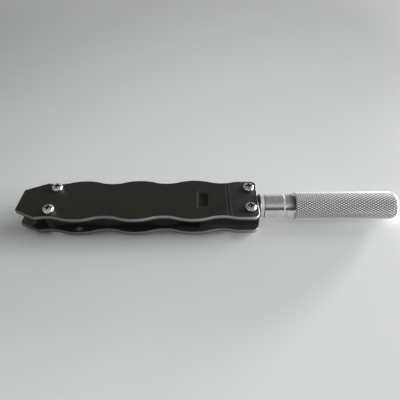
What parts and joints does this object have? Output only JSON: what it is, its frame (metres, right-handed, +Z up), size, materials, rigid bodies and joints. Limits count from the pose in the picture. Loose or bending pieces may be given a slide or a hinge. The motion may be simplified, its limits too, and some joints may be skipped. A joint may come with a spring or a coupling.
{
  "type": "folding hand tool",
  "caption": "Slim hand tool with two scalloped black side plates, dark arms folded between them and a swivelling knurled aluminium handle on a turned neck.",
  "frame": {"origin": "on the resting surface, under the middle of the tool's overall length and width", "axes": "+X along the tool from the nose to the knurled handle, +Z up out of the upper side plate's face, +Y completes the right-handed frame"},
  "size_m": [0.1658, 0.0246, 0.0147],
  "materials": {
    "blackened_plate": "blackened sheet, satin faces and bare rounded edges",
    "black_block": "black anodised, satin",
    "dark_arm_steel": "black oxide, satin",
    "nickel_fastener": "bright nickel plate",
    "zinc_nut": "zinc plate, slightly dull",
    "bearing_steel": "ground",
    "bronze": "plain bearing bronze",
    "dark_nylon": "matt",
    "turned_neck": "turned and polished, fine tool lines",
    "knurled_aluminium": "bright diamond knurl"
  },
  "bodies": {
    "frame": {"upper_side_plate": "blackened_plate", "lower_side_plate": "blackened_plate", "pivot_screws": "nickel_fastener", "pivot_nuts": "zinc_nut", "end_block_screws": "nickel_fastener", "end_block_nuts": "zinc_nut", "pivot_bushes": "bearing_steel", "lower_pivot_washers": "dark_nylon", "upper_pivot_washers": "dark_nylon", "end_block": "black_block", "spindle_bush": "bronze", "thrust_washer": "dark_nylon"},
    "front_arm": {"front_folding_arm": "dark_arm_steel"},
    "rear_arm": {"rear_folding_arm": "dark_arm_steel"},
    "handle": {"spindle": "bearing_steel", "collar_ring": "turned_neck", "neck_sleeve": "turned_neck", "knurled_handle": "knurled_aluminium", "retaining_washer": "bearing_steel", "retaining_nut": "zinc_nut"}
  },
  "joints": [
    {"name": "front_arm_hinge", "type": "hinge", "parent": "frame", "child": "front_arm", "pos_m": [-0.06782, -0.0069, 0.0076], "axis": [0, 0, -1], "range_deg": [0, 180]},
    {"name": "rear_arm_hinge", "type": "hinge", "parent": "frame", "child": "rear_arm", "pos_m": [-0.06782, 0.0069, 0.0076], "axis": [0, 0, 1], "range_deg": [0, 180]},
    {"name": "handle_swivel", "type": "hinge", "parent": "frame", "child": "handle", "pos_m": [0.02308, 0, 0.008], "axis": [1, 0, 0], "continuous": true}
  ]
}
